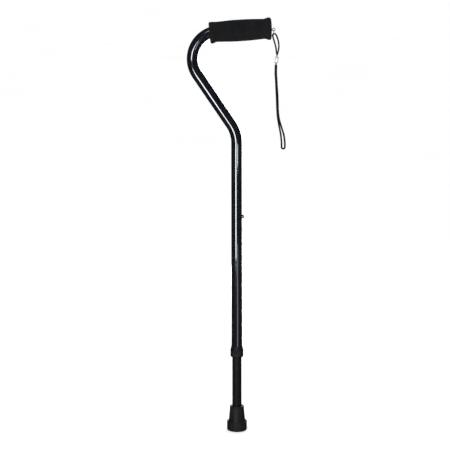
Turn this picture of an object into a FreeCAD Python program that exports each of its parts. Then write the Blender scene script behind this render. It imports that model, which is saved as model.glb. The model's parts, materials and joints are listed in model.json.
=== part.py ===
"""Offset-handle walking cane with a telescoping shaft, a foam grip and a clip-on wrist strap.

Millimetres. The origin is the middle of the rubber tip's floor contact, +Z is up along the shaft, and the
handle lies in the XZ plane with its open end towards +X. The shaft is at its shortest setting.
"""

import FreeCAD, Part
import math
import os

import Sketcher

V = FreeCAD.Vector
Y_AXIS = V(0, 1, 0)
OUT = "parts"

doc = FreeCAD.newDocument("walking_cane")
sheet = doc.addObject("Spreadsheet::Sheet", "Sheet")

DIMENSIONS = {
    # outer tube and its bends
    "outer_radius": 10.0,
    "outer_bore": 8.8,
    "tube_bottom": 151.8,
    "lower_corner": 559.8,
    "lower_bend_radius": 60.0,
    "lean": 34.1,
    "corner_gap": 218.3,
    "main_bend_radius": 50.5,
    "handle_slope": 2.0,
    "handle_run": 181.9,
    # height holes
    "hole_radius": 3.5,
    "hole_first": 176.7,
    "hole_pitch": 25.4,
    "hole_count": 10,
    # foam grip
    "grip_left": -49.2,
    "grip_left_height": 741.0,
    "grip_length": 111.4,
    "grip_slope": 3.5,
    "grip_radius": 19.4,
    "grip_neck": 17.8,
    "grip_flare": 19.7,
    "grip_clearance": 0.05,
    "grip_bore_run": 9.0,
    # handle end
    "plug_radius": 8.75,
    "plug_depth": 24.0,
    "flange_radius": 9.9,
    "flange_depth": 2.4,
    "eye_loop": 2.4,
    "eye_wire": 0.7,
    "eye_reach": 7.2,
    "eye_drop": 1.3,
    "eye_shank": 1.1,
    "eye_shank_length": 14.0,
    "eye_collar": 1.5,
    "washer_radius": 3.4,
    "washer_depth": 0.8,
    # inner tube
    "inner_radius": 8.7,
    "inner_bore": 7.5,
    "inner_bottom": 10.0,
    "inner_top": 428.0,
    "button_hole": 3.35,
    "guide_top": 434.0,
    "guide_radius": 8.75,
    "guide_shank": 7.45,
    "guide_bore": 5.8,
    # lock ring, bushing and collet
    "bushing_top": 161.0,
    "shoulder_radius": 11.0,
    "thread_bottom": 145.3,
    "thread_pitch": 2.0,
    "thread_depth": 0.35,
    "bushing_clearance": 0.03,
    "ring_bottom": 140.8,
    "ring_top": 156.8,
    "ring_radius": 12.15,
    "ring_bore": 11.05,
    "lip_depth": 2.0,
    "lip_bore": 8.95,
    "rib_count": 30,
    "rib_cut": 0.45,
    "collet_bottom": 143.0,
    "collet_top": 148.8,
    "collet_bore": 8.75,
    "collet_slit": 1.6,
    # snap button and its spring
    "button_radius": 3.25,
    "button_reach": 13.5,
    "button_back": 5.0,
    "button_flange": 4.1,
    "spring_width": 6.0,
    "spring_leaf": 0.5,
    # rubber tip
    "tip_height": 46.5,
    "tip_foot": 18.65,
    "tip_flange": 17.6,
    "tip_bore": 8.72,
    "tip_floor": 8.0,
    "tip_washer_radius": 8.5,
    "tip_washer_depth": 1.6,
    # strap hardware
    "ring_wire": 0.5,
    "strap_ring_radius": 4.75,
    "link_gap": 0.15,
    "thin_cord": 2.5,
    "loop_cord": 3.1,
    "crimp_x": 72.9,
    "crimp_top": 704.6,
    "crimp_height": 5.6,
    "crimp_wide": 2.6,
    "crimp_narrow": 1.5,
    "clasp_height": 13.6,
    "clasp_half": 2.4,
    "clasp_wire": 0.6,
    "clasp_tilt": 8.0,
    "barrel_radius": 1.7,
    "barrel_height": 2.6,
    "post_radius": 0.55,
    "post_head": 1.1,
    "post_head_depth": 0.7,
    "pin_radius": 0.28,
    "knuckle_radius": 0.8,
    "knuckle_width": 1.3,
    "ear_depth": 0.4,
    "ear_arm": 0.4,
    "gate_nub": 0.75,
    "gate_leaf": 0.18,
    "sleeve_bottom": 656.0,
    "sleeve_top": 683.6,
    "sleeve_x": 70.9,
    "sleeve_eye_bore": 1.0,
    "sleeve_eye_wall": 0.8,
    "sleeve_eye_width": 2.2,
}

for row, (alias, value) in enumerate(DIMENSIONS.items(), start=1):
    sheet.set(f"A{row}", alias)
    sheet.set(f"B{row}", str(value))
    sheet.setAlias(f"B{row}", alias)
doc.recompute()


def size(alias):
    """The value of one driving dimension."""
    return float(sheet.get(alias))


def number(expression):
    """The value of an expression over the sheet, such as "Sheet.ring_top - 2"."""
    value = sheet.evalExpression(str(expression))
    return float(getattr(value, "Value", value))


# ---------------------------------------------------------------- helpers


def new_body(name):
    body = doc.addObject("PartDesign::Body", name)
    body.Label = name
    return body


def new_sketch(body, name, plane="XZ_Plane"):
    """A sketch on one of the body's own origin planes."""
    face = next(f for f in body.Origin.OriginFeatures if f.Role == plane)
    sketch = body.newObject("Sketcher::SketchObject", name)
    sketch.AttachmentSupport = (face, [""])
    sketch.MapMode = "FlatFace"
    return sketch


def pin_point(sketch, edge, end, across, up):
    """Fix one end of an edge at an (across, up) place given as two expressions."""
    for kind, expression, axis in (("DistanceX", across, -2), ("DistanceY", up, -1)):
        value = number(expression)
        if abs(value) < 1e-9:
            sketch.addConstraint(Sketcher.Constraint("PointOnObject", edge, end, axis))
            continue
        place = sketch.addConstraint(Sketcher.Constraint(kind, -1, 1, edge, end, value))
        if "Sheet." in str(expression):
            sketch.setExpression(f"Constraints[{place}]", str(expression))


def outline(sketch, corners):
    """A closed polygon whose corners are (across, up) expressions."""
    points = [V(number(a), number(b), 0) for a, b in corners]
    count = len(points)
    for i in range(count):
        sketch.addGeometry(Part.LineSegment(points[i], points[(i + 1) % count]), False)
    for i in range(count):
        sketch.addConstraint(Sketcher.Constraint("Coincident", i, 2, (i + 1) % count, 1))
    for i, (across, up) in enumerate(corners):
        pin_point(sketch, i, 1, across, up)


def circle(sketch, radius, across="0", up="0"):
    centre = V(number(across), number(up), 0)
    index = sketch.addGeometry(Part.Circle(centre, V(0, 0, 1), number(radius)), False)
    place = sketch.addConstraint(Sketcher.Constraint("Radius", index, number(radius)))
    if "Sheet." in str(radius):
        sketch.setExpression(f"Constraints[{place}]", str(radius))
    pin_point(sketch, index, 3, across, up)


def turned(name, corners):
    """A body revolved about its own Z axis, from (radius, height) corners."""
    body = new_body(name)
    sketch = new_sketch(body, name + "_profile")
    outline(sketch, corners)
    turn = body.newObject("PartDesign::Revolution", name + "_turn")
    turn.Profile = sketch
    turn.ReferenceAxis = (sketch, ["V_Axis"])
    turn.Angle = 360.0
    doc.recompute()
    return body


def cut_pad(body, name, sketch, reversed_way=False, both=True, depth=None):
    """A pocket through the body, or to a depth expression, with the volume compared."""
    before = body.Shape.Volume
    cut = body.newObject("PartDesign::Pocket", name)
    cut.Profile = sketch
    cut.Type = "ThroughAll" if depth is None else "Length"
    cut.Midplane = both
    cut.Reversed = reversed_way
    if depth is not None:
        cut.setExpression("Length", depth)
    doc.recompute()
    if body.Shape.Volume > before - 1e-3:
        raise RuntimeError(f"{name} cuts nothing")
    return cut


def place_along(body, base, degrees_from_up):
    """Put a body at base with its Z axis turned about Y by this many degrees."""
    body.Placement = FreeCAD.Placement(base, FreeCAD.Rotation(Y_AXIS, degrees_from_up))


def solid(name, shape):
    """A part made with Part's own functions, where no feature fits."""
    feature = doc.addObject("Part::Feature", name)
    feature.Label = name
    feature.Shape = shape
    return feature


def rod(start, end, radius):
    return Part.makeCylinder(radius, (end - start).Length, start, end - start)


def crosswise(middle, radius, length):
    """A cylinder along Y with its middle at a point."""
    return Part.makeCylinder(radius, length, middle - Y_AXIS * (length / 2), Y_AXIS)


# ---------------------------------------------------------------- the handle's centreline


def heading(degrees_from_up):
    """The direction in the XZ plane that leans this far from +Z towards +X."""
    angle = math.radians(degrees_from_up)
    return V(math.sin(angle), 0, math.cos(angle))


def bend(corner, into, out, radius):
    """Where a bend of this radius starts, passes its middle and ends, for two headings."""
    half = math.acos(max(-1.0, min(1.0, into.dot(out)))) / 2
    reach = radius * math.tan(half)
    inward = (out - into).normalize()
    centre = corner + inward * (radius / math.cos(half))
    return corner - into * reach, centre - inward * radius, corner + out * reach


LEAN = heading(-size("lean"))
HANDLE = heading(90 - size("handle_slope"))
LOWER_CORNER = V(0, 0, size("lower_corner"))
UPPER_CORNER = LOWER_CORNER + LEAN * size("corner_gap")
HANDLE_END = UPPER_CORNER + HANDLE * size("handle_run")
LOWER_BEND = bend(LOWER_CORNER, V(0, 0, 1), LEAN, size("lower_bend_radius"))
MAIN_BEND = bend(UPPER_CORNER, LEAN, HANDLE, size("main_bend_radius"))


def flat_point(point):
    """A point of the XZ plane as a sketch on that plane sees it."""
    return V(point.x, point.z, 0)


def handle_spine(sketch, from_shaft=True):
    """The tube's centreline: straight shaft, lower bend, diagonal, main bend, handle."""
    if from_shaft:
        bottom = V(0, 0, size("tube_bottom"))
        line(sketch, bottom, LOWER_BEND[0])
        arc(sketch, *LOWER_BEND)
        line(sketch, LOWER_BEND[2], MAIN_BEND[0])
    arc(sketch, *MAIN_BEND)
    run_out = 0 if from_shaft else size("grip_bore_run")
    line(sketch, MAIN_BEND[2], HANDLE_END + HANDLE * run_out)
    for index in range(sketch.GeometryCount - 1):
        here, there = meeting_ends(sketch, index)
        sketch.addConstraint(Sketcher.Constraint("Tangent", index, here, index + 1, there))
    sketch.addConstraint([Sketcher.Constraint("Block", i) for i in range(sketch.GeometryCount)])


def line(sketch, start, end):
    sketch.addGeometry(Part.LineSegment(flat_point(start), flat_point(end)), False)


def arc(sketch, start, middle, end):
    sketch.addGeometry(Part.Arc(*(flat_point(p) for p in (start, middle, end))), False)


def meeting_ends(sketch, index):
    """Which end of an edge and which end of the next one lie on each other."""

    def gap(ends):
        return (sketch.getPoint(index, ends[0]) - sketch.getPoint(index + 1, ends[1])).Length

    return min([(1, 1), (1, 2), (2, 1), (2, 2)], key=gap)


# ---------------------------------------------------------------- handle body


def make_upper_tube():
    body = new_body("upper_tube")
    spine = new_sketch(body, "upper_tube_spine")
    handle_spine(spine)
    ring = new_sketch(body, "upper_tube_ring", "XY_Plane")
    ring.AttachmentOffset = FreeCAD.Placement(V(0, 0, size("tube_bottom")), FreeCAD.Rotation())
    circle(ring, "Sheet.outer_radius")
    circle(ring, "Sheet.outer_bore")
    sweep = body.newObject("PartDesign::AdditivePipe", "upper_tube_sweep")
    sweep.Profile = ring
    sweep.Spine = (spine, [f"Edge{n + 1}" for n in range(spine.GeometryCount)])
    doc.recompute()
    holes = new_sketch(body, "upper_tube_hole", "YZ_Plane")
    circle(holes, "Sheet.hole_radius", "0", "Sheet.hole_first")
    hole = cut_pad(body, "upper_tube_hole_cut", holes, reversed_way=True, both=False)
    row = body.newObject("PartDesign::LinearPattern", "upper_tube_holes")
    row.Originals = [hole]
    row.Direction = (holes, ["V_Axis"])
    row.Length = size("hole_pitch") * (size("hole_count") - 1)
    row.Occurrences = int(size("hole_count"))
    row.setExpression("Length", "Sheet.hole_pitch * (Sheet.hole_count - 1)")
    body.Tip = row
    doc.recompute()
    return body


def grip_radii():
    """(radius, length along the grip) of the foam's outer face, as expressions."""
    flare, neck, middle = "Sheet.grip_flare", "Sheet.grip_neck", "Sheet.grip_radius"
    length = "Sheet.grip_length"
    return [
        (f"{flare} - 3", "0"),
        (f"{flare} - 0.8", "1.2"),
        (flare, "3.5"),
        (f"{flare} - 0.6", "6.5"),
        (neck, "12"),
        (f"{neck} + 0.6", "22"),
        (middle, "42"),
        (middle, f"{length} - 42"),
        (f"{neck} + 0.6", f"{length} - 21"),
        (neck, f"{length} - 11.5"),
        (f"{flare} - 0.5", f"{length} - 6.5"),
        (flare, f"{length} - 3.8"),
        (f"{flare} - 0.8", f"{length} - 1.3"),
        (f"{flare} - 3", length),
    ]


def make_foam_grip():
    """A turned foam sleeve; the bent tube passes through it."""
    outer = turned("foam_solid", [("0", "0")] + grip_radii() + [("0", "Sheet.grip_length")])
    base = V(size("grip_left"), 0, size("grip_left_height"))
    place_along(outer, base, 90 - size("grip_slope"))
    bore = new_body("foam_bore")
    spine = new_sketch(bore, "foam_bore_spine")
    handle_spine(spine, from_shaft=False)
    start = new_sketch(bore, "foam_bore_ring", "XY_Plane")
    start.MapMode = "Deactivated"
    start.Placement = FreeCAD.Placement(MAIN_BEND[0], FreeCAD.Rotation(V(0, 0, 1), LEAN))
    circle(start, "Sheet.outer_radius + Sheet.grip_clearance")
    sweep = bore.newObject("PartDesign::AdditivePipe", "foam_bore_pipe")
    sweep.Profile = start
    sweep.Spine = (spine, ["Edge1", "Edge2"])
    doc.recompute()
    grip = doc.addObject("Part::Cut", "foam_grip")
    grip.Base = outer
    grip.Tool = bore
    grip.Label = "foam_grip"
    doc.recompute()
    return grip


def make_handle_plug():
    """A stepped plug in the tube's end: ribbed shank, then a flange inside the foam's end."""
    shank = "Sheet.plug_radius"
    body = turned("handle_plug", [
        ("0", "-Sheet.plug_depth"),
        (f"{shank} - 1.2", "-Sheet.plug_depth"),
        (f"{shank} - 0.5", "-Sheet.plug_depth + 1.5"),
        (f"{shank} - 0.5", "-16"),
        (shank, "-15"),
        (shank, "-12"),
        (f"{shank} - 0.5", "-11"),
        (f"{shank} - 0.5", "-7"),
        (shank, "-6"),
        (shank, "0.1"),
        ("Sheet.flange_radius", "0.1"),
        ("Sheet.flange_radius", "Sheet.flange_depth - 0.6"),
        ("Sheet.flange_radius - 0.6", "Sheet.flange_depth"),
        ("0", "Sheet.flange_depth"),
    ])
    drill = new_sketch(body, "handle_plug_drill", "XY_Plane")
    circle(drill, "Sheet.eye_shank + 0.02", "Sheet.eye_drop")
    cut_pad(body, "handle_plug_drill_cut", drill)
    place_along(body, HANDLE_END, 90 - size("handle_slope"))
    return body


EYE_LINE = HANDLE_END + heading(180 - size("handle_slope")) * size("eye_drop")
EYE_CENTRE = EYE_LINE + HANDLE * size("eye_reach")
EYE_LOW = EYE_CENTRE - V(0, 0, size("eye_loop"))


def make_eye_washer():
    flange = size("flange_depth")
    body = turned("eye_washer", [
        ("Sheet.eye_shank + 0.1", "0.02"),
        ("Sheet.washer_radius", "0.02"),
        ("Sheet.washer_radius", "Sheet.washer_depth - 0.2"),
        ("Sheet.washer_radius - 0.2", "Sheet.washer_depth"),
        ("Sheet.eye_shank + 0.1", "Sheet.washer_depth"),
    ])
    place_along(body, EYE_LINE + HANDLE * flange, 90 - size("handle_slope"))
    return body


def make_strap_eye():
    """A screw eye: a ring whose hole faces sideways, a collar and a shank."""
    ring = Part.makeTorus(size("eye_loop"), size("eye_wire"), EYE_CENTRE, Y_AXIS)
    collar_start = size("flange_depth") + size("washer_depth") + 0.02
    collar_end = size("eye_reach") - size("eye_loop")
    collar_base, neck = EYE_LINE + HANDLE * collar_start, EYE_LINE + HANDLE * collar_end
    collar = rod(collar_base, neck, size("eye_collar"))
    shank = rod(EYE_LINE - HANDLE * size("eye_shank_length"), neck, size("eye_shank"))
    return solid("strap_eye", ring.fuse([collar, shank]).removeSplitter())


# ---------------------------------------------------------------- telescoping joint


def make_collar_bushing():
    """Grips the outer tube's end; its ringed outside takes the nut, its mouth is a cone."""
    thread, low = "Sheet.shoulder_radius", "Sheet.thread_bottom"
    tube = "Sheet.outer_radius + Sheet.bushing_clearance"
    corners = [
        ("Sheet.inner_radius + 1.5", low),
        (f"{thread} - 0.4", low),
        (thread, f"{low} + 0.5"),
    ]
    grooves = int((size("ring_top") - size("thread_bottom") - 3) / size("thread_pitch"))
    for turn in range(grooves):
        at = f"{low} + 1 + {turn} * Sheet.thread_pitch"
        corners += [
            (thread, at),
            (f"{thread} - Sheet.thread_depth", f"{at} + 0.45"),
            (f"{thread} - Sheet.thread_depth", f"{at} + 0.65"),
            (thread, f"{at} + 1.1"),
        ]
    corners += [
        (thread, "Sheet.bushing_top - 0.8"),
        (f"{thread} - 0.6", "Sheet.bushing_top"),
        (tube, "Sheet.bushing_top"),
        (tube, "Sheet.tube_bottom - 0.05"),
        ("Sheet.inner_radius + 0.15", "Sheet.tube_bottom - 0.05"),
        ("Sheet.inner_radius + 0.15", "Sheet.tube_bottom - 2"),
    ]
    return turned("collar_bushing", corners)


def make_collet_ring():
    body = turned("collet_ring", [
        ("Sheet.collet_bore", "Sheet.collet_bottom"),
        ("Sheet.collet_bore + 1.55", "Sheet.collet_bottom"),
        ("Sheet.collet_bore + 1.55", "Sheet.thread_bottom - 0.35"),
        ("Sheet.collet_bore + 1.32", "Sheet.thread_bottom - 0.2"),
        ("Sheet.collet_bore + 0.27", "Sheet.collet_top"),
        ("Sheet.collet_bore", "Sheet.collet_top"),
    ])
    slit = new_sketch(body, "collet_slit", "XY_Plane")
    half = "Sheet.collet_slit / 2"
    outline(slit, [("5", f"-{half}"), ("12", f"-{half}"), ("12", half), ("5", half)])
    cut_pad(body, "collet_slit_cut", slit)
    return body


def make_lock_ring():
    """A nut with a ribbed outside and a lip below that pushes the collet up."""
    radius, low, high = "Sheet.ring_radius", "Sheet.ring_bottom", "Sheet.ring_top"
    body = turned("lock_ring", [
        ("Sheet.lip_bore", low),
        (f"{radius} - 1.9", low),
        (f"{radius} - 0.7", f"{low} + 0.5"),
        (radius, f"{low} + 2"),
        (radius, f"{high} - 1.2"),
        (f"{radius} - 0.55", f"{high} - 0.3"),
        (f"{radius} - 0.7", high),
        ("Sheet.ring_bore", high),
        ("Sheet.ring_bore", f"{low} + Sheet.lip_depth"),
        ("Sheet.lip_bore", f"{low} + Sheet.lip_depth"),
    ])
    flute = new_sketch(body, "lock_ring_flute", "XY_Plane")
    flute.AttachmentOffset = FreeCAD.Placement(V(0, 0, size("ring_bottom") + 2.4), FreeCAD.Rotation())
    circle(flute, "0.75", "Sheet.ring_radius + 0.75 - Sheet.rib_cut")
    cut = cut_pad(body, "lock_ring_flute_cut", flute, reversed_way=True, both=False,
                  depth="Sheet.ring_top - Sheet.ring_bottom - 4")
    ribs = body.newObject("PartDesign::PolarPattern", "lock_ring_flutes")
    ribs.Originals = [cut]
    ribs.Axis = (flute, ["N_Axis"])
    ribs.Angle = 360.0
    ribs.Occurrences = int(size("rib_count"))
    body.Tip = ribs
    doc.recompute()
    return body


# ---------------------------------------------------------------- inner tube, button and tip


def button_height():
    return "Sheet.hole_first + Sheet.hole_pitch * (Sheet.hole_count - 1)"


def make_lower_tube():
    body = turned("lower_tube", [
        ("Sheet.inner_bore", "Sheet.inner_bottom"),
        ("Sheet.inner_radius", "Sheet.inner_bottom"),
        ("Sheet.inner_radius", "Sheet.inner_top"),
        ("Sheet.inner_bore", "Sheet.inner_top"),
    ])
    hole = new_sketch(body, "lower_tube_hole", "YZ_Plane")
    circle(hole, "Sheet.button_hole", "0", button_height())
    cut_pad(body, "lower_tube_hole_cut", hole, reversed_way=True, both=False)
    return body


def make_guide_sleeve():
    return turned("guide_sleeve", [
        ("Sheet.guide_bore", "Sheet.inner_top - 8"),
        ("Sheet.guide_shank - 0.4", "Sheet.inner_top - 8"),
        ("Sheet.guide_shank", "Sheet.inner_top - 7"),
        ("Sheet.guide_shank", "Sheet.inner_top + 0.02"),
        ("Sheet.guide_radius", "Sheet.inner_top + 0.02"),
        ("Sheet.guide_radius", "Sheet.guide_top - 0.8"),
        ("Sheet.guide_radius - 0.8", "Sheet.guide_top"),
        ("Sheet.guide_bore", "Sheet.guide_top"),
    ])


def make_snap_button():
    """A domed brass head with a flange that stops it inside the inner tube."""
    head, back = "Sheet.button_radius", "Sheet.button_back"
    body = turned("snap_button", [
        ("0", back),
        ("Sheet.button_flange", back),
        ("Sheet.button_flange", f"{back} + 1"),
        (head, f"{back} + 1"),
        (head, "Sheet.button_reach - 1.6"),
        (f"{head} - 0.35", "Sheet.button_reach - 0.8"),
        (f"{head} - 1.1", "Sheet.button_reach - 0.25"),
        (f"{head} - 2.2", "Sheet.button_reach"),
        ("0", "Sheet.button_reach"),
    ])
    place_along(body, V(0, 0, number(button_height())), 90)
    return body


def make_snap_spring():
    """A V of leaf spring: one leg behind the button, the other against the tube's far wall."""
    body = new_body("snap_spring")
    sketch = new_sketch(body, "snap_spring_outline")
    high = button_height()
    leaf = "Sheet.spring_leaf"
    front = "Sheet.button_back - 0.1"
    outline(sketch, [
        (front, f"{high} + 6"),
        (f"{front} - {leaf}", f"{high} + 6"),
        (f"{front} - {leaf}", f"{high} - 6"),
        ("-3.7", f"{high} - 38"),
        ("-4.6", f"{high} - 39"),
        ("-5.6", f"{high} - 38"),
        (f"-6.7 + {leaf}", f"{high} + 5"),
        ("-6.7", f"{high} + 5"),
        ("-6.1", f"{high} - 38.4"),
        ("-4.6", f"{high} - 39.6"),
        ("-3.2", f"{high} - 38.2"),
        (front, f"{high} - 6"),
    ])
    pad = body.newObject("PartDesign::Pad", "snap_spring_pad")
    pad.Profile = sketch
    pad.Midplane = True
    pad.Length = size("spring_width")
    pad.setExpression("Length", "Sheet.spring_width")
    doc.recompute()
    return body


def make_rubber_tip():
    """A bell: flange with a raised rim, cone, rolled lip, and tread rings under a centre land."""
    foot, flange = "Sheet.tip_foot", "Sheet.tip_flange"
    high = "Sheet.tip_height"
    corners = [("0", "0"), ("3.6", "0")]
    for inner in (3.6, 7.6, 11.6):
        corners += [(str(inner + 0.3), "1.4"), (str(inner + 1.5), "1.4"), (str(inner + 1.8), "0")]
        if inner < 11:
            corners += [(str(inner + 4.0), "0")]
    corners += [
        (f"{foot} - 2", "0"),
        (f"{foot} - 0.6", "0.6"),
        (foot, "2.4"),
        (foot, f"{flange} - 1.6"),
        (f"{foot} - 0.5", f"{flange} - 0.4"),
        (f"{foot} - 1.5", flange),
        (f"{foot} - 2.6", f"{flange} - 0.5"),
        ("15.5", f"{flange} - 1.6"),
        ("15.2", f"{flange} + 1"),
        ("14.8", f"{flange} + 5"),
        ("13.0", f"{high} - 2.6"),
        ("13.3", f"{high} - 1.9"),
        ("13.2", f"{high} - 0.5"),
        ("12.7", high),
        ("Sheet.tip_bore", high),
        ("Sheet.tip_bore", "Sheet.tip_floor"),
        ("0", "Sheet.tip_floor"),
    ]
    return turned("rubber_tip", corners)


def make_tip_washer():
    low = "Sheet.tip_floor + 0.05"
    return turned("tip_washer", [
        ("0", low),
        ("Sheet.tip_washer_radius", low),
        ("Sheet.tip_washer_radius", f"{low} + Sheet.tip_washer_depth"),
        ("0", f"{low} + Sheet.tip_washer_depth"),
    ])


# ---------------------------------------------------------------- wrist strap


def cord_path(points):
    """Straight runs joined by tangent arcs of 0.45 of the shorter run over tan(half turn)."""
    edges, radii = [], []
    at = points[0]
    for before, corner, after in zip(points, points[1:], points[2:]):
        into = (corner - before).normalize()
        out = (after - corner).normalize()
        half = math.acos(max(-1.0, min(1.0, into.dot(out)))) / 2
        reach = 0.45 * min((corner - before).Length, (after - corner).Length)
        radius = reach / math.tan(half)
        start, middle, end = bend(corner, into, out, radius)
        edges += [Part.LineSegment(at, start).toShape(), Part.Arc(start, middle, end).toShape()]
        radii.append(radius)
        at = end
    edges.append(Part.LineSegment(at, points[-1]).toShape())
    return Part.Wire(edges), radii


def make_cord(name, points, diameter):
    wire, radii = cord_path([V(*p) for p in points])
    start = wire.Edges[0]
    ring = Part.Circle(V(*points[0]), start.tangentAt(start.FirstParameter), diameter / 2)
    tube = wire.makePipeShell([Part.Wire(ring.toShape())], True, True)
    shape = tube if tube.ShapeType == "Solid" else tube.Solids[0]
    expected = math.pi * diameter**2 / 4 * wire.Length
    runs = [(V(*b) - V(*a)).Length for a, b in zip(points, points[1:])]
    print(f"{name}: length {wire.Length:.1f}, radii {[round(r, 1) for r in radii]}, "
          f"runs {[round(r, 1) for r in runs]}, volume ratio {shape.Volume / expected:.3f}")
    return solid(name, shape)


LINK = size("eye_wire") + size("ring_wire") + size("link_gap")
STRAP_RING_CENTRE = EYE_LOW + V(0, 0, LINK - size("strap_ring_radius"))

# the thin loop: up from the crimp, over the ring's lowest point, and back down to the crimp
THIN_LOOP = [
    (71.6, 0, 704.5),
    (71.3, 0, 709.3),
    (70.0, 0, 716.6),
    (67.5, 0, 725.3),
    (65.6, 0, 731.3),
    (64.3, 0, 735.2),
    (65.8, 0, 738.5),
    (69.7, 0, 738.5),
    (72.4, 0, 733.5),
    (75.1, 0, 725.0),
    (76.1, 0, 717.2),
    (75.6, 0, 710.2),
    (74.2, 0, 704.5),
]

# the hand loop: down the near strand, round the fold, and up the far strand
HAND_LOOP = [
    (70.6, -1.6, 656.0),
    (70.9, -1.7, 648.0),
    (71.6, -1.6, 634.5),
    (72.4, -1.7, 620.0),
    (72.9, -1.75, 604.0),
    (73.9, -1.7, 588.5),
    (76.6, -1.4, 573.0),
    (80.0, -0.6, 556.5),
    (81.3, 0.0, 543.5),
    (81.5, 0.0, 536.5),
    (81.5, 0.0, 531.5),
    (84.5, 0.0, 529.7),
    (87.5, 0.0, 531.5),
    (87.6, 0.0, 537.0),
    (87.2, 0.1, 544.0),
    (85.6, 0.9, 556.0),
    (80.8, 1.6, 570.5),
    (76.4, 1.75, 585.0),
    (74.8, 1.75, 600.5),
    (74.5, 1.7, 616.0),
    (73.8, 1.6, 631.5),
    (72.7, 1.7, 645.0),
    (72.1, 1.6, 656.0),
]


def make_strap_ring():
    """A ring in the YZ plane, hung on the eye's lowest point."""
    ring = Part.makeTorus(size("strap_ring_radius"), size("ring_wire"), STRAP_RING_CENTRE, V(1, 0, 0))
    return solid("strap_ring", ring)


CRIMP_TOP = V(size("crimp_x"), 0, size("crimp_top"))
CLASP_DOWN = heading(180 + size("clasp_tilt"))
CLASP_SIDE = Y_AXIS.cross(-CLASP_DOWN)
CRIMP_BOTTOM = V(CRIMP_TOP.x, 0, CRIMP_TOP.z - size("crimp_height"))
CLASP_TOP = CRIMP_BOTTOM + CLASP_DOWN * 0.3


def clasp_point(side, down):
    return CLASP_TOP + CLASP_SIDE * side + CLASP_DOWN * down


def make_loop_crimp():
    """A ferrule that tapers from the cord's two strands to the clasp's barrel."""
    body = turned("loop_crimp", [
        ("0", "-Sheet.crimp_height"),
        ("Sheet.crimp_narrow - 0.3", "-Sheet.crimp_height"),
        ("Sheet.crimp_narrow", "-Sheet.crimp_height + 0.4"),
        ("Sheet.crimp_narrow + 0.25", "-Sheet.crimp_height * 0.6"),
        ("Sheet.crimp_wide", "-1.4"),
        ("Sheet.crimp_wide", "-0.5"),
        ("Sheet.crimp_wide - 0.15", "-0.11"),
        ("0", "-0.11"),
    ])
    body.Placement = FreeCAD.Placement(CRIMP_TOP, FreeCAD.Rotation())
    return body


def make_swivel_post():
    """A post hung under the crimp, with a head below the clasp's barrel."""
    head_top = size("barrel_height") + size("link_gap")
    head_bottom = head_top + size("post_head_depth")
    post = rod(clasp_point(0, -2.3), clasp_point(0, head_bottom), size("post_radius"))
    head = rod(clasp_point(0, head_top), clasp_point(0, head_bottom), size("post_head"))
    return solid("swivel_post", post.fuse(head).removeSplitter())


def clasp_frame():
    """The clasp's corners as (side, down): a tall rounded link under the barrel."""
    top = size("barrel_height") - size("clasp_wire")
    return top, size("clasp_height"), size("clasp_half")


def clasp_wire_path(corners, radius):
    """A tangent wire through (side, down) corners with one corner radius."""
    points = [clasp_point(*c) for c in corners]
    edges, at = [], points[0]
    for before, corner, after in zip(points, points[1:], points[2:]):
        into, out = (corner - before).normalize(), (after - corner).normalize()
        start, middle, end = bend(corner, into, out, radius)
        edges += [Part.LineSegment(at, start).toShape(), Part.Arc(start, middle, end).toShape()]
        at = end
    edges.append(Part.LineSegment(at, points[-1]).toShape())
    return Part.Wire(edges)


def make_clasp_body():
    """The barrel, the link round to the gate's tip, and two ears for the gate's pin."""
    top, bottom, half = clasp_frame()
    corners = [
        (half, top + 2.2),
        (half, top),
        (-half, top),
        (-half, bottom),
        (half, bottom),
        (half, bottom - 3.2),
    ]
    path = clasp_wire_path(corners, half / 2)
    first = path.Edges[0]
    ring = Part.Circle(first.Vertexes[0].Point, first.tangentAt(first.FirstParameter), size("clasp_wire"))
    link = path.makePipeShell([Part.Wire(ring.toShape())], True, True)
    high = size("barrel_height")
    barrel = rod(clasp_point(0, 0), clasp_point(0, high), size("barrel_radius"))
    bore = rod(clasp_point(0, -1), clasp_point(0, high + 1), size("post_radius") + 0.1)
    head_room = rod(clasp_point(0, high), clasp_point(0, high + 1.2), size("post_head") + size("link_gap"))
    pin_hole = crosswise(gate_places()[0], size("pin_radius") + 0.01, 4)
    shape = link.fuse([barrel] + gate_ears()).cut([bore, head_room, pin_hole])
    return solid("clasp_body", shape.removeSplitter())


def gate_places():
    """The gate's pin, its lower tip and its thumb nub, as points."""
    top, bottom, half = clasp_frame()
    pin = clasp_point(half, top + 3.2)
    tip = clasp_point(half, bottom - 3.5)
    return pin, tip, clasp_point(half + 0.9, bottom - 4.6)


def make_clasp_gate():
    """A flat bar between the pin and the link's tip, with a nub for the thumb."""
    pin, tip, nub = gate_places()
    bar = rod(pin, tip, size("clasp_wire") - 0.05)
    knuckle = crosswise(pin, size("knuckle_radius"), size("knuckle_width"))
    thumb = Part.makeSphere(size("gate_nub"), nub)
    bore = crosswise(pin, size("pin_radius") + 0.05, 2 * size("knuckle_width"))
    return solid("clasp_gate", bar.fuse([knuckle, thumb]).cut(bore).removeSplitter())


def make_gate_pin():
    length = size("knuckle_width") + 2 * size("ear_depth") + 0.2
    return solid("gate_pin", crosswise(gate_places()[0], size("pin_radius"), length))


def gate_ears():
    """Two ears beside the gate's knuckle, each a disc on an arm from a bar across the link's end."""
    top, _, half = clasp_frame()
    pin = gate_places()[0]
    deep = size("ear_depth")
    inside = size("knuckle_width") / 2 + 0.1
    bar = clasp_point(half, top + 1.4)
    pieces = [crosswise(bar, size("ear_arm"), 2 * (inside + deep))]
    for outward in (-Y_AXIS, Y_AXIS):
        middle = outward * (inside + deep / 2)
        pieces.append(Part.makeCylinder(size("knuckle_radius"), deep, pin + outward * inside, outward))
        pieces.append(rod(bar + middle, pin + middle, 0.4 * deep))
    return pieces


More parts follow.
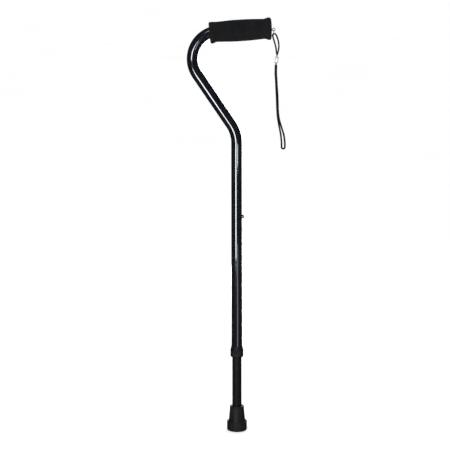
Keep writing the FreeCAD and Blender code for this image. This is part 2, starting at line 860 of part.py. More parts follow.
def make_gate_spring():
    """A thin leaf set in the link's corner that leans on the gate from within."""
    top, _, half = clasp_frame()
    low = clasp_point(half - 1.05, top + 5.0)
    high = clasp_point(half - 1.0, top + 0.5)
    return solid("gate_spring", rod(high, low, size("gate_leaf")))


def make_strap_sleeve():
    """An oval sleeve round the cord's two ends, drawn up into an eye for the clasp's bar."""
    body = new_body("sleeve_solid")
    rings = []
    for index, (height, shift, across, deep) in enumerate(
        [("Sheet.sleeve_bottom + 0.02", 0.4, 2.5, 3.3), ("Sheet.sleeve_bottom + 9", -0.3, 2.45, 2.6),
         ("Sheet.sleeve_top", -0.1, 2.1, 1.7)]
    ):
        ring = new_sketch(body, f"sleeve_ring_{index}", "XY_Plane")
        ring.AttachmentOffset = FreeCAD.Placement(V(0, 0, number(height)), FreeCAD.Rotation())
        place = V(size("sleeve_x") + shift, 0, 0)
        wide, thin = (V(across, 0, 0), V(0, deep, 0)) if across > deep else (V(0, deep, 0), V(-across, 0, 0))
        oval = Part.Ellipse(place + wide, place + thin, place)
        ring.addGeometry(oval, False)
        ring.exposeInternalGeometry(0)
        ring.addConstraint(Sketcher.Constraint("Block", 0))
        rings.append(ring)
    loft = body.newObject("PartDesign::AdditiveLoft", "sleeve_loft")
    loft.Profile = rings[0]
    loft.Sections = rings[1:]
    doc.recompute()
    bar = clasp_point(0, clasp_frame()[1])
    wide = size("sleeve_eye_width")
    bore = size("sleeve_eye_bore")
    outer = Part.makeCylinder(bore + size("sleeve_eye_wall"), wide, bar - V(wide / 2, 0, 0), V(1, 0, 0))
    hole = Part.makeCylinder(bore, 3 * wide, bar - V(1.5 * wide, 0, 0), V(1, 0, 0))
    shape = body.Shape.fuse(outer).cut(hole).removeSplitter()
    return solid("strap_sleeve", shape.Solids[0] if shape.Solids else shape)


# ---------------------------------------------------------------- build and write


def build_all():
    parts = [
        make_upper_tube(),
        make_foam_grip(),
        make_handle_plug(),
        make_eye_washer(),
        make_strap_eye(),
        make_collar_bushing(),
        make_collet_ring(),
        make_lock_ring(),
        make_lower_tube(),
        make_guide_sleeve(),
        make_snap_button(),
        make_snap_spring(),
        make_rubber_tip(),
        make_tip_washer(),
        make_strap_ring(),
        make_cord("strap_loop_cord", THIN_LOOP, size("thin_cord")),
        make_loop_crimp(),
        make_swivel_post(),
        make_clasp_body(),
        make_clasp_gate(),
        make_gate_pin(),
        make_gate_spring(),
        make_strap_sleeve(),
        make_cord("hand_loop_cord", HAND_LOOP, size("loop_cord")),
    ]
    doc.recompute()
    return parts


def check_and_write(parts):
    """Stop if anything failed, then write each part to its own file."""
    for item in doc.Objects:
        if {"Invalid", "Error"} & set(item.State):
            raise RuntimeError(f"{item.Name} is {item.State}")
    os.makedirs(OUT, exist_ok=True)
    for part in parts:
        shape = part.Shape
        if shape.isNull() or not shape.isValid() or len(shape.Solids) != 1:
            raise RuntimeError(f"{part.Label} isn't one valid solid")
        shape.exportStep(os.path.join(OUT, part.Label + ".step"))
        print(f"{part.Label}: {shape.Volume:.1f} mm3")


check_and_write(build_all())
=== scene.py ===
"""The looks of an offset-handle walking cane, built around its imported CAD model.

Metres, in the CAD model's own frame: +Z up along the shaft, the handle in the XZ plane, its open end to +X.
Routes, profiles and sections are written in millimetres and scaled with MM.
"""

import json
import math

import bmesh
import bpy
from mathutils import Matrix, Vector, noise


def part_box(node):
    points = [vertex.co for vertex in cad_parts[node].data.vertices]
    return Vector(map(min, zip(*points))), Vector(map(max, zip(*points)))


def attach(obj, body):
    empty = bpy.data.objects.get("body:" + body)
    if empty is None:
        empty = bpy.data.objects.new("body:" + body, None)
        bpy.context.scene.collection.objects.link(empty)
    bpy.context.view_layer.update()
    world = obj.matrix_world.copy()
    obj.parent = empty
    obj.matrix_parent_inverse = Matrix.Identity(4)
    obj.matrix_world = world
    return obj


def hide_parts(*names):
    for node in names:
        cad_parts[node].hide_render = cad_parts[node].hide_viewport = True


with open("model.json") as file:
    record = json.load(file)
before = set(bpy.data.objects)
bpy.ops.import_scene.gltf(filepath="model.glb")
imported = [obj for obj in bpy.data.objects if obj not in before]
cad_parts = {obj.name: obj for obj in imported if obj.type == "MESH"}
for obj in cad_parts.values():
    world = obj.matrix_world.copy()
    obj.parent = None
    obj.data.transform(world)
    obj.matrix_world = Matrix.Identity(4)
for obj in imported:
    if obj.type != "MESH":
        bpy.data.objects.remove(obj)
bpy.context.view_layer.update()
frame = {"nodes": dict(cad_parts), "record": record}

MM = 0.001
scene = bpy.context.scene


# ---------------------------------------------------------------- camera


LENS = 133.05
CAMERA_PLACE = (-0.0216, -3.0, 0.934)
CAMERA_PITCH = 79.71  # degrees from straight down
CAMERA_ROLL = -0.12  # degrees


def make_camera():
    """A long lens three metres off, looking down by ten degrees."""
    data = bpy.data.cameras.new("camera")
    data.lens = LENS
    data.sensor_width = 36.0
    camera = bpy.data.objects.new("camera", data)
    camera.location = CAMERA_PLACE
    pitch = Matrix.Rotation(math.radians(CAMERA_PITCH), 3, "X")
    roll = Matrix.Rotation(math.radians(CAMERA_ROLL), 3, "Z")
    camera.rotation_euler = (pitch @ roll).to_euler()
    scene.collection.objects.link(camera)
    scene.camera = camera


# ---------------------------------------------------------------- mesh helpers


def mesh_object(name, verts, faces, smooth=True):
    """A mesh whose faces all look outwards."""
    mesh = bpy.data.meshes.new(name)
    mesh.from_pydata([tuple(v) for v in verts], [], faces)
    shell = bmesh.new()
    shell.from_mesh(mesh)
    bmesh.ops.recalc_face_normals(shell, faces=shell.faces)
    shell.to_mesh(mesh)
    shell.free()
    if smooth:
        mesh.shade_smooth()
    else:
        mesh.shade_flat()
    piece = bpy.data.objects.new(name, mesh)
    scene.collection.objects.link(piece)
    return piece


def stand_for(piece, body, slot, material, *nodes):
    """Give a finished piece its body and material, and hide the CAD nodes that it stands for; the slot
    argument is not used.
    """
    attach(piece, body)
    if nodes:
        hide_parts(*nodes)
    piece.data.materials.clear()
    piece.data.materials.append(material)
    return piece


FILLET_SHARE = 0.48  # the most of a side that one fillet takes


def rounded(corners, closed=False, steps=5):
    """Points of a profile through (radius, height, fillet) corners, with each fillet a smooth curve."""
    points = []
    count = len(corners)
    for i, (radius, height, fillet) in enumerate(corners):
        here = Vector((radius, height))
        if fillet == 0 or (not closed and i in (0, count - 1)):
            points.append(here)
            continue
        before = Vector(corners[i - 1][:2]) - here
        after = Vector(corners[(i + 1) % count][:2]) - here
        start = here + before.normalized() * min(fillet, before.length * FILLET_SHARE)
        end = here + after.normalized() * min(fillet, after.length * FILLET_SHARE)
        for k in range(steps + 1):
            t = k / steps
            points.append(start.lerp(here, t).lerp(here.lerp(end, t), t))
    return points


def lathe(name, profile, segments, shape=None, closed=False):
    """Turn (radius, height) points about Z; shape(angle, radius, height) may answer another radius."""
    verts, rings = [], []
    for radius, height in profile:
        if radius < 1e-9:
            rings.append([len(verts)] * segments)
            verts.append((0, 0, height))
            continue
        first = len(verts)
        for angle in around_once(segments):
            out = shape(angle, radius, height) if shape else radius
            verts.append((out * math.cos(angle), out * math.sin(angle), height))
        rings.append(list(range(first, first + segments)))
    return mesh_object(name, verts, ring_faces(rings, closed))


def ring_faces(rings, closed=False):
    """Quads, or triangles at a pole, between rings of as many vertices each."""
    faces = []
    pairs = list(zip(rings, rings[1:]))
    if closed:
        pairs.append((rings[-1], rings[0]))
    for low, high in pairs:
        count = len(low)
        for k in range(count):
            quad = [low[k], low[(k + 1) % count], high[(k + 1) % count], high[k]]
            face = list(dict.fromkeys(quad))
            if len(face) > 2:
                faces.append(face)
    return faces


def around_once(count):
    """The angles of a full turn in equal steps."""
    return [2 * math.pi * k / count for k in range(count)]


def to_metres(piece):
    """Scale a mesh that was made in millimetres."""
    piece.data.transform(Matrix.Scale(MM, 4))


def put(piece, base, up):
    """Move a piece's mesh so that its own Z axis leaves base along up."""
    turn = Vector((0, 0, 1)).rotation_difference(Vector(up)).to_matrix().to_4x4()
    piece.data.transform(Matrix.Translation(Vector(base)) @ turn)


# ---------------------------------------------------------------- cords


# The middle line of each cord, as in the CAD model.
THIN_LOOP = [
    (71.6, 0, 704.5),
    (71.3, 0, 709.3),
    (70.0, 0, 716.6),
    (67.5, 0, 725.3),
    (65.6, 0, 731.3),
    (64.3, 0, 735.2),
    (65.8, 0, 738.5),
    (69.7, 0, 738.5),
    (72.4, 0, 733.5),
    (75.1, 0, 725.0),
    (76.1, 0, 717.2),
    (75.6, 0, 710.2),
    (74.2, 0, 704.5),
]

HAND_LOOP = [
    (70.6, -1.6, 656.0),
    (70.9, -1.7, 648.0),
    (71.6, -1.6, 634.5),
    (72.4, -1.7, 620.0),
    (72.9, -1.75, 604.0),
    (73.9, -1.7, 588.5),
    (76.6, -1.4, 573.0),
    (80.0, -0.6, 556.5),
    (81.3, 0.0, 543.5),
    (81.5, 0.0, 536.5),
    (81.5, 0.0, 531.5),
    (84.5, 0.0, 529.7),
    (87.5, 0.0, 531.5),
    (87.6, 0.0, 537.0),
    (87.2, 0.1, 544.0),
    (85.6, 0.9, 556.0),
    (80.8, 1.6, 570.5),
    (76.4, 1.75, 585.0),
    (74.8, 1.75, 600.5),
    (74.5, 1.7, 616.0),
    (73.8, 1.6, 631.5),
    (72.7, 1.7, 645.0),
    (72.1, 1.6, 656.0),
]


THIN_CORD = 2.5 * MM
LOOP_CORD = 3.1 * MM
THIN_FULLNESS = 1.2  # the braid's outer diameter over its cord's
LOOP_FULLNESS = 1.1


def spline_points(route, resolution):
    """Points along the smooth NURBS line of a route in millimetres."""
    data = bpy.data.curves.new("route", "CURVE")
    data.dimensions = "3D"
    data.resolution_u = resolution
    spline = data.splines.new("NURBS")
    spline.points.add(len(route) - 1)
    for point, (x, y, z) in zip(spline.points, route):
        point.co = (x * MM, y * MM, z * MM, 1)
    spline.order_u = 3
    spline.use_endpoint_u = True
    carrier = bpy.data.objects.new("route", data)
    mesh = bpy.data.meshes.new_from_object(carrier)
    points = [v.co.copy() for v in mesh.vertices]
    bpy.data.meshes.remove(mesh)
    bpy.data.objects.remove(carrier)
    bpy.data.curves.remove(data)
    return points


def transported_frames(points):
    """A side and an up direction at each point of a line, carried along without twist."""
    frames = []
    side = Vector((0, 1, 0))
    for i, point in enumerate(points):
        ahead = points[min(i + 1, len(points) - 1)] - points[max(i - 1, 0)]
        ahead.normalize()
        side = (side - ahead * side.dot(ahead)).normalized()
        frames.append((side, ahead.cross(side)))
    return frames


def braided_tube(name, points, diameter, around, strands, lead, depth):
    """A round plaited cord: two families of strands that pass over and under each other.

    A strand goes round once in one lead; depth is how deep the gaps are, as a part of the radius.
    """
    verts, rings = [], []
    travelled = 0.0
    previous = points[0]
    for point, (side, up) in zip(points, transported_frames(points)):
        travelled += (point - previous).length
        previous = point
        phase = 2 * math.pi * travelled / lead
        first = len(verts)
        for angle in around_once(around):
            right = strands * (angle + phase)
            left = strands * (angle - phase)
            over = 0.5 + 0.5 * math.sin((right + left) / 2) * math.sin((right - left) / 2)
            bump = over * abs(math.cos(right / 2)) + (1 - over) * abs(math.cos(left / 2))
            radius = diameter / 2 * (1 - depth * (1 - bump))
            verts.append(point + side * radius * math.cos(angle) + up * radius * math.sin(angle))
        rings.append(list(range(first, first + around)))
    return mesh_object(name, verts, ring_faces(rings) + [rings[0][::-1], rings[-1]])


def make_cords(materials):
    """The thin loop that hangs from the ring, and the hand loop below the clasp."""
    thin_line = spline_points(THIN_LOOP, resolution=30)
    thin = braided_tube("thin_loop", thin_line, THIN_FULLNESS * THIN_CORD,
                        around=24, strands=4, lead=3 * THIN_CORD, depth=0.14)
    stand_for(thin, "strap_loop", "strap_cord", materials["cord"], "strap_loop_cord")
    ferrule = make_crimp(materials)
    hand_line = spline_points(HAND_LOOP, resolution=36)
    hand = braided_tube("hand_loop_braid", hand_line, LOOP_FULLNESS * LOOP_CORD,
                        around=32, strands=5, lead=3.4 * LOOP_CORD, depth=0.13)
    stand_for(hand, "hand_loop", "strap_cord", materials["cord"], "hand_loop_cord")
    make_sleeve(materials)


# ---------------------------------------------------------------- the strap's ferrule and sleeve


THREAD_PITCH = 0.9
THREAD_RISE = 0.05  # as a part of the sleeve's half width
CLASP_BAR = (70.965, 685.235)  # x and z of the bar's middle, in millimetres
SLEEVE_AROUND = 48
SLEEVE_STEPS = 12  # from one section to the next
SLEEVE_SECTIONS = [  # height, middle, half width across, half depth, in millimetres
    (655.9, 71.35, 1.9, 2.6),
    (656.1, 71.33, 2.3, 3.1),
    (657.0, 71.25, 2.45, 3.25),
    (661.0, 70.9, 2.5, 2.95),
    (665.0, 70.6, 2.45, 2.6),
    (672.0, 70.6, 2.45, 2.3),
    (679.0, 70.75, 2.4, 2.05),
    (681.8, 70.85, 2.3, 1.9),
    (682.9, 70.9, 1.8, 1.5),
    (683.5, 70.92, 1.0, 0.9),
]


def make_crimp(materials):
    """The ferrule that closes the thin loop: it widens upwards in crimped steps to a rolled edge."""
    low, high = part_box("loop_crimp")
    middle = (low + high) / 2
    tall = (high.z - low.z) / MM
    profile = rounded([
        (0, 0, 0),
        (1.2, 0, 0.2),
        (1.55, 0.4, 0.3),
        (1.75, 1.6, 0.3),
        (1.6, 1.9, 0.2),
        (1.9, 2.3, 0.2),
        (2.05, 2.9, 0.2),
        (1.9, 3.2, 0.2),
        (2.35, 3.7, 0.3),
        (2.55, tall - 0.7, 0.3),
        (2.5, tall, 0.35),
        (1.6, tall, 0.3),
        (0, tall - 0.3, 0),
    ], steps=4)
    ferrule = lathe("crimp_ferrule", profile, segments=48)
    to_metres(ferrule)
    put(ferrule, (middle.x, middle.y, low.z), (0, 0, 1))
    return stand_for(ferrule, "strap_loop", "crimp_black", materials["moulded_black"], "loop_crimp")


def sleeve_ring(below, above, t):
    """One ring of the sleeve, part t of the way from one section to the next, with its threads raised."""
    height, middle, across, depth = (a + (b - a) * t for a, b in zip(below, above))
    ring = []
    for angle in around_once(SLEEVE_AROUND):
        wound = abs(math.sin(math.pi * height / THREAD_PITCH + angle / 2))
        out = 0.95 + THREAD_RISE * wound
        x = middle + across * out * math.cos(angle)
        y = depth * out * math.sin(angle)
        ring.append((x * MM, y * MM, height * MM))
    return ring


def make_sleeve(materials):
    """An oval sleeve wound with thread, and the bright eyelet on the clasp's bar that it ends in."""
    verts, rings = [], []
    for below, above in zip(SLEEVE_SECTIONS, SLEEVE_SECTIONS[1:]):
        for step in range(SLEEVE_STEPS):
            ring = sleeve_ring(below, above, step / SLEEVE_STEPS)
            rings.append(list(range(len(verts), len(verts) + len(ring))))
            verts += ring
    sleeve = mesh_object("wound_sleeve", verts, ring_faces(rings) + [rings[0][::-1], rings[-1]])
    stand_for(sleeve, "hand_loop", "sleeve_wrap", materials["sleeve"], "strap_sleeve")
    middle_radius, half_thick, half_wide = 1.4, 0.38, 1.05
    section = [
        (middle_radius + half_thick * math.cos(angle), half_wide * math.sin(angle))
        for angle in around_once(20)
    ]
    eyelet = lathe("sleeve_eyelet", section, segments=56, closed=True)
    to_metres(eyelet)
    put(eyelet, (CLASP_BAR[0] * MM, 0, CLASP_BAR[1] * MM), (1, 0, 0))
    stand_for(eyelet, "hand_loop", "sleeve_wrap", materials["bright_metal"])
    return [sleeve, eyelet]


# ---------------------------------------------------------------- materials


class Shader:
    """A material under construction: its nodes, its shader and its surface coordinates."""

    def __init__(self, name):
        self.material = bpy.data.materials.new(name)
        self.material.use_nodes = True
        self.tree = self.material.node_tree
        self.main = self.tree.nodes["Principled BSDF"]
        self.place = self.tree.nodes.new("ShaderNodeTexCoord").outputs["Object"]

    def node(self, kind, **values):
        made = self.tree.nodes.new("ShaderNode" + kind)
        for key, value in values.items():
            if key in made.inputs:
                made.inputs[key].default_value = value
            else:
                setattr(made, key, value)
        return made

    def link(self, source, target):
        self.tree.links.new(source, target)

    def set(self, **values):
        for key, value in values.items():
            self.main.inputs[key.replace("_", " ")].default_value = value

    def stretched(self, scale):
        """The coordinates, scaled per axis."""
        mapping = self.node("Mapping")
        mapping.inputs["Scale"].default_value = scale
        self.link(self.place, mapping.inputs["Vector"])
        return mapping.outputs["Vector"]

    def noise(self, scale, detail, roughness=0.55, place=None):
        texture = self.node("TexNoise")
        texture.inputs["Scale"].default_value = scale
        texture.inputs["Detail"].default_value = detail
        texture.inputs["Roughness"].default_value = roughness
        self.link(place or self.place, texture.inputs["Vector"])
        return texture.outputs["Fac"]

    def cells(self, scale):
        texture = self.node("TexVoronoi")
        texture.inputs["Scale"].default_value = scale
        self.link(self.place, texture.inputs["Vector"])
        return texture.outputs["Distance"]

    def ramp(self, source, stops):
        """A colour ramp with (position, colour) stops; a colour may be one grey number."""
        made = self.node("ValToRGB")
        elements = made.color_ramp.elements
        while len(elements) < len(stops):
            elements.new(0.5)
        for element, (position, colour) in zip(elements, stops):
            element.position = position
            grey = isinstance(colour, (int, float))
            element.color = (colour, colour, colour, 1) if grey else (*colour, 1)
        self.link(source, made.inputs["Fac"])
        return made.outputs["Color"]

    def spread(self, source, low, high, start=0.3, end=0.7):
        """A number that goes from low to high as the source goes from start to end."""
        made = self.node("MapRange")
        for key, value in (("From Min", start), ("From Max", end), ("To Min", low), ("To Max", high)):
            made.inputs[key].default_value = value
        self.link(source, made.inputs["Value"])
        return made.outputs["Result"]

    def bump(self, height, strength, distance, below=None):
        made = self.node("Bump")
        made.inputs["Strength"].default_value = strength
        made.inputs["Distance"].default_value = distance
        self.link(height, made.inputs["Height"])
        if below is not None:
            self.link(below, made.inputs["Normal"])
        return made.outputs["Normal"]

    def finish(self, colour=None, roughness=None, normal=None):
        for source, key in ((colour, "Base Color"), (roughness, "Roughness"), (normal, "Normal")):
            if source is not None:
                self.link(source, self.main.inputs[key])
        return self.material


def gloss_tube():
    """Black gloss coating: slight orange peel, a few hair scratches along the tube."""
    shader = Shader("gloss_black_tube")
    shader.set(IOR=1.5, Coat_Weight=1.0, Coat_Roughness=0.03, Coat_IOR=1.5)
    clouds = shader.noise(38, 3)
    colour = shader.ramp(clouds, [(0.3, (0.0038, 0.0042, 0.0058)), (0.7, (0.0068, 0.0075, 0.01))])
    scratches = shader.noise(90, 5, 0.7, shader.stretched((14, 14, 0.9)))
    rough = shader.spread(scratches, 0.1, 0.3, 0.55, 0.75)
    peel = shader.bump(shader.noise(420, 2), 0.05, 0.0003)
    return shader.finish(colour, rough, peel)


def satin_tube():
    """Black anodised inner tube with drawing lines along it."""
    shader = Shader("satin_black_tube")
    shader.set(Specular_IOR_Level=0.26)
    lines = shader.noise(160, 6, 0.7, shader.stretched((6, 6, 0.25)))
    colour = shader.ramp(lines, [(0.3, (0.003, 0.003, 0.0032)), (0.7, (0.007, 0.007, 0.0075))])
    rough = shader.spread(lines, 0.2, 0.34)
    return shader.finish(colour, rough, shader.bump(lines, 0.12, 0.0002))


def foam():
    """Closed-cell foam rubber: fine pores and a very soft sheen."""
    shader = Shader("black_foam")
    shader.set(Specular_IOR_Level=0.12, Sheen_Weight=0.015, Sheen_Roughness=0.6)
    clouds = shader.noise(45, 4)
    grain = shader.noise(2600, 3, 0.6)
    mixed = shader.node("Math", operation="MULTIPLY")
    shader.link(clouds, mixed.inputs[0])
    shader.link(grain, mixed.inputs[1])
    colour = shader.ramp(mixed.outputs["Value"],
                         [(0.12, (0.0028, 0.0029, 0.0035)), (0.42, (0.0066, 0.0069, 0.0084))])
    rough = shader.spread(grain, 0.72, 0.92)
    pores = shader.bump(shader.cells(1500), 0.35, 0.0003)
    return shader.finish(colour, rough, shader.bump(grain, 0.5, 0.0003, pores))


def moulded():
    """Black moulded plastic with a fine spark-eroded grain."""
    shader = Shader("moulded_black_plastic")
    shader.set(Specular_IOR_Level=0.25)
    grain = shader.noise(1900, 3)
    colour = shader.ramp(shader.noise(80, 4), [(0.3, (0.003, 0.003, 0.0032)), (0.7, (0.0065, 0.0065, 0.007))])
    return shader.finish(colour, shader.spread(grain, 0.3, 0.5), shader.bump(grain, 0.18, 0.0002))


def pale_plastic():
    """Pale grey nylon with a fine grain."""
    shader = Shader("collet_grey_plastic")
    grain = shader.noise(1200, 3)
    colour = shader.ramp(shader.noise(150, 4), [(0.3, (0.3, 0.3, 0.29)), (0.7, (0.4, 0.4, 0.39))])
    return shader.finish(colour, shader.spread(grain, 0.35, 0.5), shader.bump(grain, 0.15, 0.0002))


def bright_metal():
    """Nickel-chrome plate with light tumbling marks."""
    shader = Shader("bright_plated_metal")
    shader.set(Metallic=0.75)
    marks = shader.noise(900, 5, 0.65)
    colour = shader.ramp(marks, [(0.3, (0.3, 0.3, 0.31)), (0.7, (0.42, 0.42, 0.42))])
    return shader.finish(colour, shader.spread(marks, 0.18, 0.34), shader.bump(marks, 0.06, 0.0001))


def spring_steel():
    """Spring steel with rolling lines."""
    shader = Shader("blued_spring_steel")
    shader.set(Metallic=1.0)
    lines = shader.noise(500, 5, 0.7, shader.stretched((1, 1, 0.1)))
    colour = shader.ramp(lines, [(0.3, (0.42, 0.42, 0.44)), (0.7, (0.62, 0.62, 0.62))])
    return shader.finish(colour, shader.spread(lines, 0.25, 0.45), shader.bump(lines, 0.1, 0.0001))


def brass():
    """Turned brass, slightly tarnished."""
    shader = Shader("turned_brass")
    shader.set(Metallic=1.0)
    tarnish = shader.noise(700, 5, 0.6)
    colour = shader.ramp(tarnish, [(0.3, (0.55, 0.38, 0.15)), (0.7, (0.86, 0.66, 0.3))])
    return shader.finish(colour, shader.spread(tarnish, 0.18, 0.4), shader.bump(tarnish, 0.08, 0.0001))


def tip_rubber():
    """Dark moulded rubber: matte, a slight bloom and a fine speckle."""
    shader = Shader("moulded_rubber")
    shader.set(Specular_IOR_Level=0.2)
    bloom = shader.noise(55, 5, 0.6)
    colour = shader.ramp(bloom, [(0.3, (0.004, 0.004, 0.0042)), (0.72, (0.0095, 0.0095, 0.0102))])
    speckle = shader.noise(1400, 4, 0.6)
    return shader.finish(colour, shader.spread(bloom, 0.42, 0.6), shader.bump(speckle, 0.3, 0.0003))


def cord_yarn():
    """Plaited nylon yarn with fine filaments."""
    shader = Shader("plaited_nylon")
    shader.set(Specular_IOR_Level=0.15, Sheen_Weight=0.03, Sheen_Roughness=0.5)
    filaments = shader.noise(5200, 4, 0.65)
    colour = shader.ramp(filaments, [(0.3, (0.002, 0.002, 0.0022)), (0.75, (0.008, 0.008, 0.0085))])
    return shader.finish(colour, shader.spread(filaments, 0.5, 0.75), shader.bump(filaments, 0.45, 0.0002))


def sleeve_wrap():
    """Black winding thread, a little paler on its filaments."""
    shader = Shader("wrapped_sleeve")
    shader.set(Specular_IOR_Level=0.2, Sheen_Weight=0.04)
    threads = shader.noise(4200, 4, 0.6)
    colour = shader.ramp(threads, [(0.35, (0.003, 0.003, 0.0032)), (0.75, (0.012, 0.012, 0.0125))])
    return shader.finish(colour, shader.spread(threads, 0.45, 0.7), shader.bump(threads, 0.4, 0.0002))


def make_materials():
    """Every material by the name of its slot, with the cords' and the sleeve's under names of their own."""
    return {
        "tube_gloss": gloss_tube(),
        "tube_satin": satin_tube(),
        "grip_foam": foam(),
        "moulded_black": moulded(),
        "collet_plastic": pale_plastic(),
        "bright_metal": bright_metal(),
        "spring_steel": spring_steel(),
        "button_brass": brass(),
        "tip_rubber": tip_rubber(),
        "cord": cord_yarn(),
        "sleeve": sleeve_wrap(),
    }


def dress_nodes(materials):
    """Give every CAD node the material of its slot."""
    slots = {part["node"]: part["material_slot"] for part in frame["record"]["subparts"]}
    other_names = {"strap_cord": "cord", "crimp_black": "moulded_black", "sleeve_wrap": "sleeve"}
    for name, node in frame["nodes"].items():
        slot = slots[name]
        node.data.materials.clear()
        node.data.materials.append(materials[other_names.get(slot, slot)])


# ---------------------------------------------------------------- foam grip


GRIP_BORE = 10.3
GRIP_MOUTH = 10.5
INNER_EDGE = 12  # anything nearer the axis is the bore, which stays round


def grip_place():
    """The grip's middle, its axis, its length and its middle radius, from the record's mount."""
    mount = next(m for m in frame["record"]["mounts"] if m["name"] == "hand_grip")
    return Vector(mount["pos_m"]), Vector(mount["axis"]), mount["dims"]["length_mm"], mount["dims"]["r_mm"]


def shape_grip_ends(grip, length, radius):
    """Tilt the near end's face and dome the open end's, both fading out along the sleeve."""
    tilt, near_reach, open_reach = 0.85, 12, 10
    for vertex in grip.data.vertices:
        x, y, z = vertex.co
        upward = -x / radius
        spread = min(1.0, math.hypot(x, y) / radius)
        if z < near_reach:
            vertex.co.z -= tilt * upward * (1 - z / near_reach)
        if z > length - open_reach:
            pressed = min(1.0, max(0.0, (upward + 0.75) / 0.6))
            # 2.2 mm in the middle, half a millimetre at the rim's top and nothing at its bottom
            dome = (2.2 - 2.1 * spread * spread + 0.45 * upward) * pressed
            vertex.co.z += dome * (1 - (length - z) / open_reach)


def make_grip(materials):
    """A foam sleeve with flared ends, squeezed a little out of round."""
    middle, axis, length, radius = grip_place()
    neck, flare = radius - 1.6, radius + 0.2
    profile = rounded([
        (GRIP_BORE, 7.0, 0),
        (GRIP_MOUTH, 2.2, 1.0),
        (12.5, 0.7, 1.5),
        (flare - 1.9, 0.1, 2.5),
        (flare, 2.4, 2.5),
        (flare - 0.1, 5.6, 3.0),
        (neck, 12.0, 4.0),
        (neck + 0.6, 22.0, 8.0),
        (radius, 42.0, 12.0),
        (radius, length - 42.0, 12.0),
        (neck + 0.6, length - 21.0, 8.0),
        (neck, length - 11.5, 4.0),
        (flare, length - 5.6, 3.0),
        (flare, length - 2.4, 2.5),
        (flare - 1.9, length - 0.2, 2.5),
        (12.5, length - 0.2, 1.5),
        (GRIP_MOUTH, length - 1.4, 1.0),
        (GRIP_BORE, length - 6.0, 0),
    ], steps=8)

    def lumpy(angle, out, height):
        """Faint wrinkles all over, the near flare drawn down, the open end's fuller above and below."""
        if out < INNER_EDGE:
            return out
        upward = -math.cos(angle)
        near = max(0.0, 1 - abs(height - 3) / 9)
        far = max(0.0, 1 - abs(height - length + 4) / 8)
        place = Vector((math.cos(angle), math.sin(angle), height * 0.035))
        wrinkle = 0.006 * noise.noise(place * 1.6) + 0.0035 * noise.noise(place * 6)
        sag = 1.7 * far * max(0.0, -upward)
        return out * (1 + wrinkle) + (0.6 * far - 1.3 * near) * upward + sag

    grip = lathe("grip_sleeve", profile, segments=160, shape=lumpy)
    shape_grip_ends(grip, length, radius)
    to_metres(grip)
    put(grip, middle - axis * (length * MM / 2), axis)
    stand_for(grip, "handle", "grip_foam", materials["grip_foam"], "foam_grip")


# ---------------------------------------------------------------- locking ring and rubber tip


RIBS = 30
RIB_DEPTH = 0.5
RIB_FADE = 1.2  # along the nut


def make_lock_ring(materials):
    """The ribbed nut: soft ribs that run out before a rolled edge at each end."""
    low, high = (corner.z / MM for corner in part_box("lock_ring"))
    radius, bore, mouth = 12.15, 11.05, 9.0
    profile = rounded([
        (mouth, low, 0.2),
        (10.2, low, 0.5),
        (11.5, low + 0.45, 0.6),
        (radius, low + 1.9, 0.8),
        (radius, low + 2.5, 0),
        (radius, low + 3.2, 0),
        (radius, low + 4.0, 0),
        (radius, high - 3.6, 0),
        (radius, high - 2.8, 0),
        (radius, high - 2.1, 0),
        (radius, high - 1.0, 0.5),
        (radius - 0.55, high - 0.25, 0.3),
        (radius - 0.8, high, 0.2),
        (bore, high, 0.1),
        (bore, low + 2.0, 0.2),
        (mouth, low + 2.0, 0.2),
    ], closed=True)

    def ribbed(angle, out, height):
        """Valleys in the outside, none in the edges, the bore or the mouth."""
        if out < radius - 0.3:
            return out
        above = max(0.0, (height - low - 2.3) / RIB_FADE)
        below = max(0.0, (high - 1.9 - height) / RIB_FADE)
        inside = min(1.0, above, below)
        valley = (0.5 + 0.5 * math.cos(RIBS * angle)) ** 0.7
        return out - RIB_DEPTH * inside * valley

    ring = lathe("ribbed_nut", profile, segments=RIBS * 10, shape=ribbed, closed=True)
    to_metres(ring)
    stand_for(ring, "lock_ring", "moulded_black", materials["moulded_black"], "lock_ring")


TREAD_RINGS = (3.6, 7.6, 11.6)  # inner radius of each groove under the tip
TREAD_DEPTH = 1.4
SEAM_HEIGHT = 0.09
SEAM_WIDTH = 0.03  # half of it, in radians


def make_tip(materials):
    """The bell: tread rings, a beaded flange over a fine groove, a cone and a rolled lip."""
    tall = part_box("rubber_tip")[1].z / MM
    socket, socket_floor = 8.75, 8.0
    tread = []
    for inner in TREAD_RINGS:
        tread += [
            (inner, 0, 0.3),
            (inner + 0.4, TREAD_DEPTH, 0.3),
            (inner + 1.4, TREAD_DEPTH, 0.3),
            (inner + 1.8, 0, 0.3),
        ]
    profile = rounded([(0, 0, 0)] + tread + [
        (16.6, 0, 0.9),
        (17.9, 0.55, 0.8),
        (18.5, 2.6, 1.2),
        (18.42, 14.0, 0.6),
        (18.1, 14.35, 0.25),
        (18.1, 14.75, 0.25),
        (18.85, 15.1, 0.45),
        (18.9, 16.7, 0.7),
        (18.1, 17.6, 0.8),
        (17.0, 17.45, 0.6),
        (16.4, 16.3, 0.6),
        (15.6, 16.1, 0.5),
        (15.25, 18.6, 2.0),
        (14.8, 22.6, 4.0),
        (13.05, tall - 3.0, 0.5),
        (13.4, tall - 2.2, 0.4),
        (13.35, tall - 0.8, 0.6),
        (12.7, tall, 0.6),
        (9.6, tall, 0.5),
        (socket, tall - 0.7, 0.4),
        (socket, socket_floor, 0),
        (0, socket_floor, 0),
    ], steps=6)

    def seamed(angle, out, height):
        """A hair-thin parting line down each side of the outside."""
        if out < 12.5 or height < 2:
            return out
        side = abs((angle + math.pi / 2) % math.pi - math.pi / 2)
        return out + SEAM_HEIGHT * max(0.0, 1 - side / SEAM_WIDTH)

    bell = lathe("rubber_bell", profile, segments=240, shape=seamed)
    to_metres(bell)
    stand_for(bell, "shaft", "tip_rubber", materials["tip_rubber"], "rubber_tip")


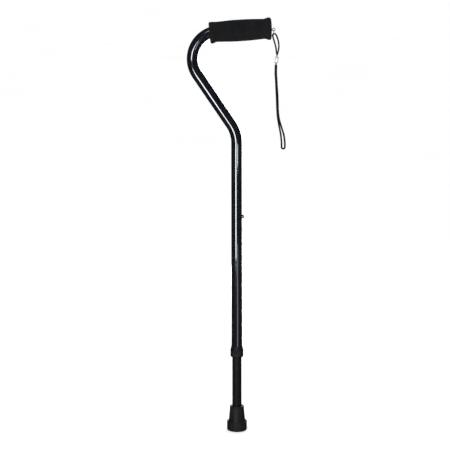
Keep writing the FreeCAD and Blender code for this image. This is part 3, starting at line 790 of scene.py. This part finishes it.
# ---------------------------------------------------------------- stage


FLOOR_DROP = 0.0002  # keeps the sheet clear of the tread


def make_floor():
    """A wide pale sheet just under the tip."""
    corners = [(-40, -40, 0), (40, -40, 0), (40, 60, 0), (-40, 60, 0)]
    floor = mesh_object("floor", corners, [(0, 1, 2, 3)], smooth=False)
    shader = Shader("pale_floor")
    shader.set(Specular_IOR_Level=0.0)
    shade = shader.ramp(shader.noise(2, 2), [(0.3, 0.9), (0.7, 0.92)])
    floor.data.materials.append(shader.finish(shade))
    floor.location.z = -FLOOR_DROP
    floor.visible_glossy = False


def area_light(name, centre, target, width, height, radiance, colour):
    """A rectangular softbox of a given brightness that looks at a target and that the camera doesn't see."""
    data = bpy.data.lights.new(name, "AREA")
    data.shape = "RECTANGLE"
    data.size = width
    data.size_y = height
    data.energy = radiance * math.pi * width * height
    data.color = colour
    light = bpy.data.objects.new(name, data)
    light.location = centre
    facing = Vector(target) - Vector(centre)
    light.rotation_euler = facing.to_track_quat("-Z", "Y").to_euler()
    light.visible_camera = False
    scene.collection.objects.link(light)


COOL = (0.92, 0.96, 1.0)
WHITE = (1, 1, 1)
LIGHTS = [  # name, azimuth, distance, height, point it looks at, width, height, radiance, colour
    ("key_box", -18, 1.5, 0.205, (0, 0, 0.205), 0.5, 0.36, 16.0, COOL),
    ("bend_box", -18, 1.5, 0.68, (-0.09, 0, 0.68), 0.42, 0.23, 16.0, COOL),
    ("glint_card", 17, 1.5, 0.312, (0, 0, 0.312), 0.36, 0.06, 12.0, COOL),
    ("low_card", 15.5, 0.5, 0.145, (0, 0, 0.145), 0.18, 0.23, 1.9, COOL),
    ("top_box", -20, 1.2, 1.9, (0, 0, 0.3), 0.6, 0.6, 3.0, WHITE),
    ("back_box", 166, 1.5, 0.42, (0, 0, 0.42), 0.7, 0.84, 9.0, WHITE),
]


def make_lights():
    """Softboxes that draw the tube's highlights, with one behind for the back."""
    for name, azimuth, distance, height, target, *look in LIGHTS:
        turn = math.radians(azimuth)
        centre = (distance * math.sin(turn), -distance * math.cos(turn), height)
        area_light(name, centre, target, *look)


def make_world():
    """A white dome, a little brighter overhead, that lights the floor and shows in no reflection."""
    world = bpy.data.worlds.new("studio")
    world.use_nodes = True
    tree = world.node_tree
    place = tree.nodes.new("ShaderNodeTexCoord").outputs["Generated"]
    split = tree.nodes.new("ShaderNodeSeparateXYZ")
    tree.links.new(place, split.inputs["Vector"])
    ramp = tree.nodes.new("ShaderNodeValToRGB")
    horizon, overhead = ramp.color_ramp.elements
    horizon.position, overhead.position = 0.0, 0.25
    horizon.color = (1.0, 1.0, 1.0, 1)
    overhead.color = (1.1, 1.1, 1.1, 1)
    tree.links.new(split.outputs["Z"], ramp.inputs["Fac"])
    tree.links.new(ramp.outputs["Color"], tree.nodes["Background"].inputs["Color"])
    scene.world = world
    world.cycles_visibility.glossy = False
    scene.view_settings.view_transform = "Standard"


# ---------------------------------------------------------------- build


make_camera()
MATERIALS = make_materials()
make_cords(MATERIALS)
dress_nodes(MATERIALS)
make_grip(MATERIALS)
make_lock_ring(MATERIALS)
make_tip(MATERIALS)
make_floor()
make_lights()
make_world()
